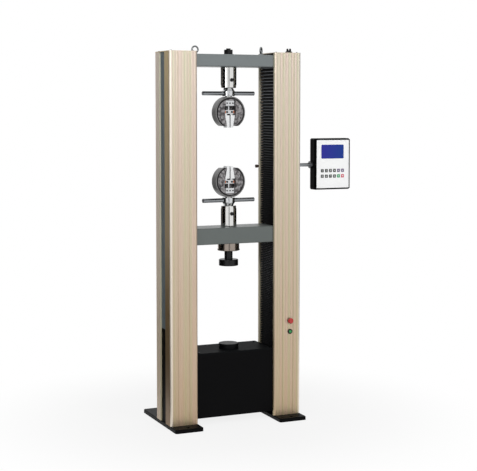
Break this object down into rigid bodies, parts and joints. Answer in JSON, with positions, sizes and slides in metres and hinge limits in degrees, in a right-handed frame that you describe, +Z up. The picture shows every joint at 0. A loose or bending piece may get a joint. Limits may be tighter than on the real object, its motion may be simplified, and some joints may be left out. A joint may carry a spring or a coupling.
{
  "type": "universal testing machine",
  "caption": "Floor-standing twin-column testing machine: a screw-driven crosshead between wedge grips above and compression platens below, with a swivelling console.",
  "frame": {"origin": "middle of the four anchor holes, on the floor under the feet", "axes": "+Z up, +X to the right of someone facing the machine, -Y towards that person"},
  "size_m": [1.113, 0.52, 2.054],
  "materials": {
    "black_powder_coat": "semi-gloss textured powder coat",
    "dark_steel": "primed steel",
    "motor_enamel": "satin enamel",
    "pulley_aluminium": "machined",
    "belt_rubber": "matte",
    "ground_steel": "ground",
    "hard_chrome": "polished",
    "champagne_anodised": "satin anodised, champagne",
    "black_strip": "satin",
    "grey_strip": "satin blue-grey",
    "black_nylon": "moulded",
    "grey_enamel": "smooth satin enamel",
    "zinc_plate": "zinc plated",
    "black_oxide": "oiled black oxide",
    "bellows_fabric": "coated fabric",
    "nickel_plate": "polished nickel plate",
    "red_plastic": "moulded",
    "green_plastic": "moulded",
    "console_plastic": "fine-grained moulding",
    "panel_white": "printed film",
    "screen_blue": "display window",
    "key_grey": "domed film keys",
    "phosphated_steel": "phosphated",
    "hardened_jaw_steel": "ground and hardened"
  },
  "bodies": {
    "frame": {"base_beam": "dark_steel", "base_front_cover": "black_powder_coat", "base_pedestals": "dark_steel", "base_rear_cover": "black_powder_coat", "base_top_plate": "black_powder_coat", "bellows_lower": "bellows_fabric", "bellows_upper": "bellows_fabric", "button_bezels": "black_nylon", "cable_glands": "black_nylon", "column_caps": "champagne_anodised", "console_bracket": "black_powder_coat", "draw_bolt": "black_oxide", "eye_bolts": "zinc_plate", "feet": "black_powder_coat", "front_profiles": "champagne_anodised", "gear_motor": "motor_enamel", "guide_columns": "hard_chrome", "lower_platen": "black_oxide", "motor_bracket": "dark_steel", "rear_profiles": "champagne_anodised", "screw_bearings": "ground_steel", "side_strips_lower": "black_strip", "side_strips_upper": "grey_strip", "toothed_belts": "belt_rubber", "top_crosshead": "grey_enamel", "upper_grip_adapter": "nickel_plate", "upper_grip_body": "phosphated_steel", "upper_grip_cross_pin": "black_oxide", "upper_grip_guide_block": "ground_steel"},
    "left_screw": {"ball_screw_left": "ground_steel", "screw_pulleys_left": "pulley_aluminium"},
    "right_screw": {"ball_screw_right": "ground_steel", "screw_pulley_right": "pulley_aluminium"},
    "drive_pulley": {"drive_pulley": "pulley_aluminium"},
    "crosshead": {"moving_crosshead": "grey_enamel", "ball_nuts_and_bushes": "ground_steel", "load_cell": "nickel_plate", "upper_platen": "black_oxide", "lower_grip_adapter": "nickel_plate", "lower_grip_cross_pin": "black_oxide", "lower_grip_body": "phosphated_steel", "lower_grip_guide_block": "ground_steel"},
    "console_arm": {"console_arm": "ground_steel"},
    "console": {"console_shell": "console_plastic", "console_bezel": "console_plastic", "console_panel": "panel_white", "console_screen": "screen_blue", "console_keys": "key_grey"},
    "stop_button": {"stop_button": "red_plastic"},
    "start_button": {"start_button": "green_plastic"},
    "limit_knob": {"limit_knob": "black_nylon"},
    "lower_collar": {"lower_grip_collar": "nickel_plate"},
    "lower_draw_bar": {"lower_grip_draw_bar": "ground_steel"},
    "lower_jaw_left": {"lower_grip_jaw_left": "hardened_jaw_steel"},
    "lower_jaw_right": {"lower_grip_jaw_right": "hardened_jaw_steel"},
    "upper_collar": {"upper_grip_collar": "nickel_plate"},
    "upper_draw_bar": {"upper_grip_draw_bar": "ground_steel"},
    "upper_jaw_left": {"upper_grip_jaw_left": "hardened_jaw_steel"},
    "upper_jaw_right": {"upper_grip_jaw_right": "hardened_jaw_steel"}
  },
  "joints": [
    {"name": "left_screw_turn", "type": "hinge", "parent": "frame", "child": "left_screw", "pos_m": [-0.27, -0.066, 1.1], "axis": [0, 0, 1], "range_deg": [-6120, 15120]},
    {"name": "right_screw_turn", "type": "hinge", "parent": "frame", "child": "right_screw", "pos_m": [0.27, -0.066, 1.1], "axis": [0, 0, 1], "range_deg": [-6120, 15120]},
    {"name": "drive_pulley_turn", "type": "hinge", "parent": "frame", "child": "drive_pulley", "pos_m": [-0.05, -0.066, 0.27], "axis": [0, 0, 1], "range_deg": [-12240, 30240]},
    {"name": "crosshead_travel", "type": "slide", "parent": "frame", "child": "crosshead", "axis": [0, 0, 1], "range_m": [-0.42, 0.17], "deforming": ["bellows_lower", "bellows_upper"]},
    {"name": "lower_collar_turn", "type": "hinge", "parent": "crosshead", "child": "lower_collar", "pos_m": [0, -0.066, 1.2], "axis": [0, 0, 1], "range_deg": [-990, 1710]},
    {"name": "lower_draw_bar_slide", "type": "slide", "parent": "crosshead", "child": "lower_draw_bar", "axis": [0, 0, 1], "range_m": [-0.019, 0.011]},
    {"name": "lower_jaw_left_slide", "type": "slide", "parent": "crosshead", "child": "lower_jaw_left", "axis": [0.1736, 0, 0.9848], "range_m": [-0.01929, 0.01117]},
    {"name": "lower_jaw_right_slide", "type": "slide", "parent": "crosshead", "child": "lower_jaw_right", "axis": [-0.1736, 0, 0.9848], "range_m": [-0.01929, 0.01117]},
    {"name": "upper_collar_turn", "type": "hinge", "parent": "frame", "child": "upper_collar", "pos_m": [0, -0.066, 1.8], "axis": [0, 0, 1], "range_deg": [-1710, 990]},
    {"name": "upper_draw_bar_slide", "type": "slide", "parent": "frame", "child": "upper_draw_bar", "axis": [0, 0, 1], "range_m": [-0.011, 0.019]},
    {"name": "upper_jaw_left_slide", "type": "slide", "parent": "frame", "child": "upper_jaw_left", "axis": [-0.1736, 0, 0.9848], "range_m": [-0.01117, 0.01929]},
    {"name": "upper_jaw_right_slide", "type": "slide", "parent": "frame", "child": "upper_jaw_right", "axis": [0.1736, 0, 0.9848], "range_m": [-0.01117, 0.01929]},
    {"name": "console_swing", "type": "hinge", "parent": "frame", "child": "console_arm", "pos_m": [0.404, -0.071, 1.401], "axis": [0, 0, 1], "range_deg": [-60, 60]},
    {"name": "console_tilt", "type": "hinge", "parent": "console_arm", "child": "console", "pos_m": [0.505, -0.071, 1.401], "axis": [1, 0, 0], "range_deg": [-30, 30]},
    {"name": "stop_button_press", "type": "slide", "parent": "frame", "child": "stop_button", "axis": [0, 1, 0], "range_m": [0, 0.004]},
    {"name": "start_button_press", "type": "slide", "parent": "frame", "child": "start_button", "axis": [0, 1, 0], "range_m": [0, 0.003], "stiffness_N_per_m": 400},
    {"name": "limit_knob_turn", "type": "hinge", "parent": "frame", "child": "limit_knob", "pos_m": [0.225, 0.034, 1.394], "axis": [1, 0, 0], "range_deg": [-180, 180]}
  ],
  "couplings": [
    {"joint": "left_screw_turn", "follows": "crosshead_travel", "rad_per_m": -628.32},
    {"joint": "right_screw_turn", "follows": "crosshead_travel", "rad_per_m": -628.32},
    {"joint": "drive_pulley_turn", "follows": "crosshead_travel", "rad_per_m": -1256.6},
    {"joint": "lower_draw_bar_slide", "follows": "lower_collar_turn", "m_per_rad": -0.00063662},
    {"joint": "lower_jaw_left_slide", "follows": "lower_collar_turn", "m_per_rad": -0.00064644},
    {"joint": "lower_jaw_right_slide", "follows": "lower_collar_turn", "m_per_rad": -0.00064644},
    {"joint": "upper_draw_bar_slide", "follows": "upper_collar_turn", "m_per_rad": -0.00063662},
    {"joint": "upper_jaw_left_slide", "follows": "upper_collar_turn", "m_per_rad": -0.00064644},
    {"joint": "upper_jaw_right_slide", "follows": "upper_collar_turn", "m_per_rad": -0.00064644}
  ]
}
